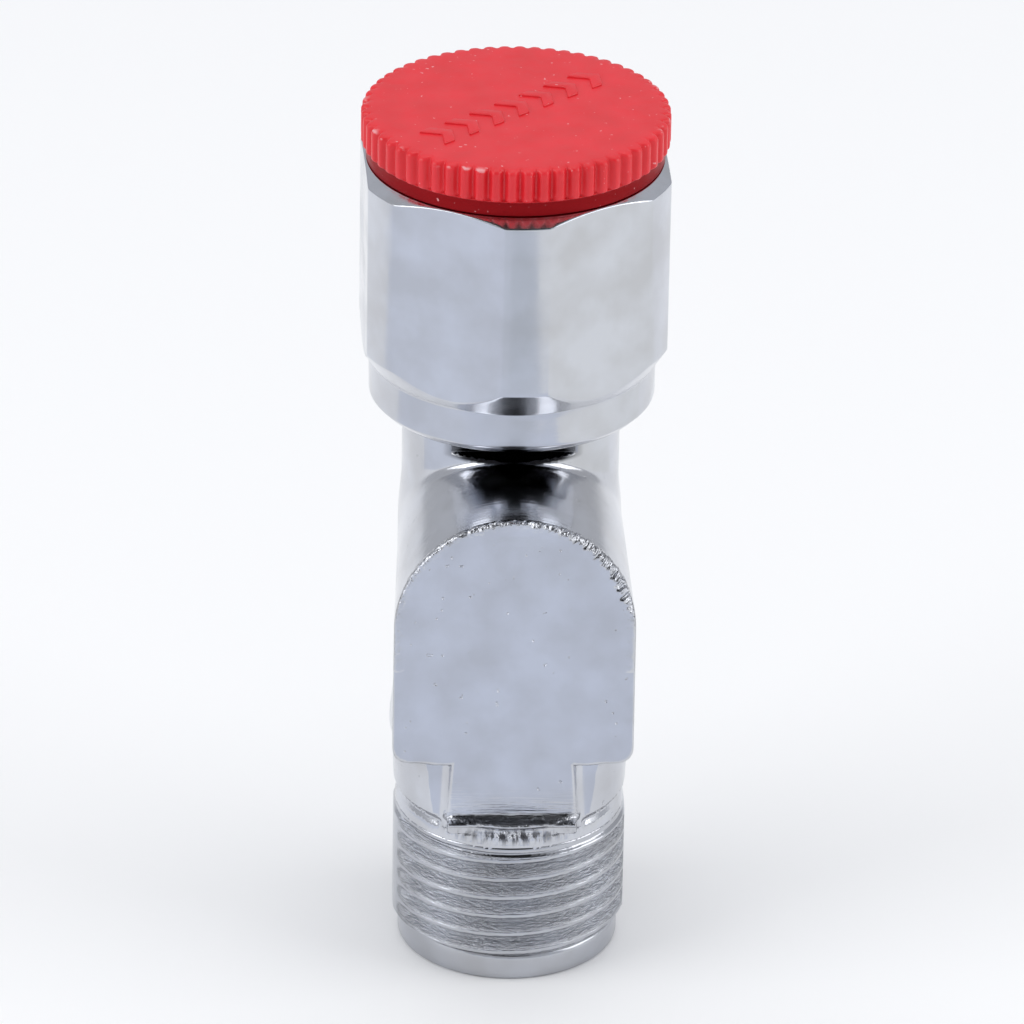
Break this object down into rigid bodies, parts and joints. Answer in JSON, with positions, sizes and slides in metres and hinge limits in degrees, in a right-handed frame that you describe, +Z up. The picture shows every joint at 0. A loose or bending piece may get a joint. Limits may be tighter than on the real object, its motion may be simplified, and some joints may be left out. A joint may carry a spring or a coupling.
{
  "type": "automatic air vent",
  "caption": "Compact chrome-plated automatic air vent with an offset body, threaded inlet, blind round-topped boss, captive union nut on the discharge side and a red ribbed closing plug.",
  "frame": {"origin": "centre of the foot of the inlet pilot, on the inlet thread's axis", "axes": "+Z up along the inlet and neck axes, -Y out of the flat boss face, +X to the right seen from the front"},
  "size_m": [0.0266, 0.0353, 0.0746],
  "materials": {
    "chrome": "bright nickel-chrome plating on turned and ground brass",
    "red_plastic": "moulded, satin",
    "rubber": "moulded EPDM",
    "brass": "turned, unplated",
    "sheet_steel": "stainless sheet and pin stock",
    "spring_steel": "drawn stainless wire",
    "pale_plastic": "moulded acetal and polypropylene"
  },
  "bodies": {
    "housing": {"body": "chrome", "nut_snap_ring": "spring_steel", "vent_head": "brass", "head_o_ring": "rubber", "vent_nozzle": "brass", "lever_bracket": "sheet_steel", "lever_pin": "sheet_steel", "check_cage": "pale_plastic", "cage_o_ring": "rubber", "strainer": "sheet_steel", "cage_retaining_ring": "spring_steel"},
    "nut": {"union_nut": "chrome"},
    "plug_seal": {"plug_seal_disc": "rubber"},
    "plug": {"screw_plug": "red_plastic"},
    "float_unit": {"float": "pale_plastic", "float_stem": "spring_steel"},
    "lever": {"float_lever": "brass", "valve_pad": "rubber"},
    "poppet": {"check_poppet": "pale_plastic", "poppet_seal": "rubber", "check_spring": "spring_steel"}
  },
  "joints": [
    {"name": "nut_spin", "type": "hinge", "parent": "housing", "child": "nut", "pos_m": [0, 0.011, 0.058], "axis": [0, 0, 1], "continuous": true},
    {"name": "plug_lift", "type": "slide", "parent": "nut", "child": "plug_seal", "axis": [0, 0, 1], "range_m": [0, 0.00826]},
    {"name": "plug_turn", "type": "hinge", "parent": "plug_seal", "child": "plug", "pos_m": [0, 0.011, 0.07], "axis": [0, 0, 1], "range_deg": [0, 1980]},
    {"name": "float_rise", "type": "slide", "parent": "housing", "child": "float_unit", "axis": [0, 0, 1], "range_m": [0, 0.0021]},
    {"name": "lever_swing", "type": "hinge", "parent": "housing", "child": "lever", "pos_m": [-0.0042, 0.011, 0.0486], "axis": [0, -1, 0], "range_deg": [0, 14.68]},
    {"name": "check_lift", "type": "slide", "parent": "housing", "child": "poppet", "axis": [0, 0, 1], "range_m": [0, 0.0025], "stiffness_N_per_m": 50, "springref_m": -0.002, "deforming": ["check_spring"]}
  ],
  "couplings": [
    {"joint": "plug_lift", "follows": "plug_turn", "m_per_rad": 0.00023873},
    {"joint": "lever_swing", "follows": "float_rise", "rad_per_m": 121.95}
  ]
}
